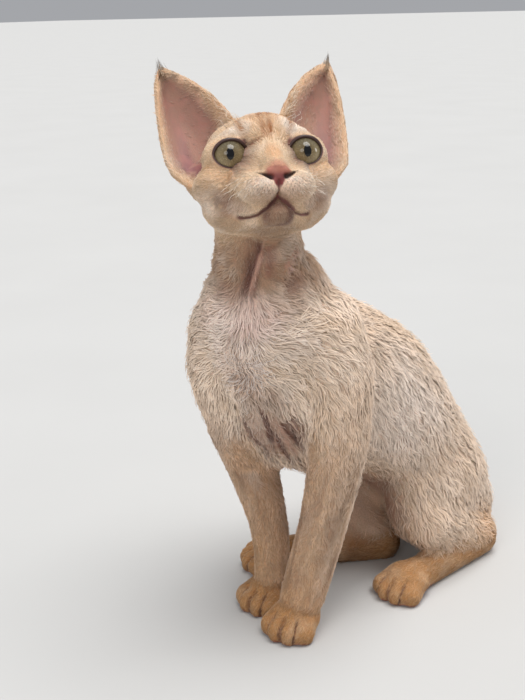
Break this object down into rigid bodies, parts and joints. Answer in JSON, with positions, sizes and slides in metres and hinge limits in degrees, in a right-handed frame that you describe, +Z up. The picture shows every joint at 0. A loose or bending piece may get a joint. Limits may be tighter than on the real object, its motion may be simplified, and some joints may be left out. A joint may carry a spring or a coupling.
{
  "type": "devon rex cat",
  "caption": "Young short-coated cat with very large ears, sitting upright with its head raised and turned to its left; a still, life-size model.",
  "frame": {"origin": "centre of the bounding box in plan, on the floor the cat sits on", "axes": "+Z up, -Y the way the cat's body broadly faces, +X its left side; the head is turned towards +X"},
  "size_m": [0.1302, 0.2466, 0.296],
  "materials": {
    "head": "short soft fur",
    "eye_left": "wet gloss",
    "eye_right": "wet gloss",
    "nose_leather": "moist satin",
    "ear_left": "thin downy skin",
    "ear_right": "thin downy skin",
    "neck": "short soft fur",
    "tail_root": "short soft fur",
    "tail_middle": "short soft fur",
    "tail_tip": "short soft fur",
    "left_forepaw": "short close fur",
    "left_forearm": "short soft fur",
    "left_upper_arm": "short wavy fur",
    "left_hind_paw": "short close fur",
    "left_hind_foot": "short close fur",
    "left_thigh": "short wavy fur",
    "right_forepaw": "short close fur",
    "right_forearm": "short soft fur",
    "right_upper_arm": "short wavy fur",
    "right_hind_paw": "short close fur",
    "right_hind_foot": "short close fur",
    "right_thigh": "short wavy fur",
    "trunk": "short wavy fur"
  },
  "bodies": {
    "root": {"head": "head", "eye_left": "eye_left", "eye_right": "eye_right", "nose_leather": "nose_leather", "ear_left": "ear_left", "ear_right": "ear_right", "neck": "neck", "tail_root": "tail_root", "tail_middle": "tail_middle", "tail_tip": "tail_tip", "left_forepaw": "left_forepaw", "left_forearm": "left_forearm", "left_upper_arm": "left_upper_arm", "left_hind_paw": "left_hind_paw", "left_hind_foot": "left_hind_foot", "left_thigh": "left_thigh", "right_forepaw": "right_forepaw", "right_forearm": "right_forearm", "right_upper_arm": "right_upper_arm", "right_hind_paw": "right_hind_paw", "right_hind_foot": "right_hind_foot", "right_thigh": "right_thigh", "trunk": "trunk"}
  },
  "joints": []
}
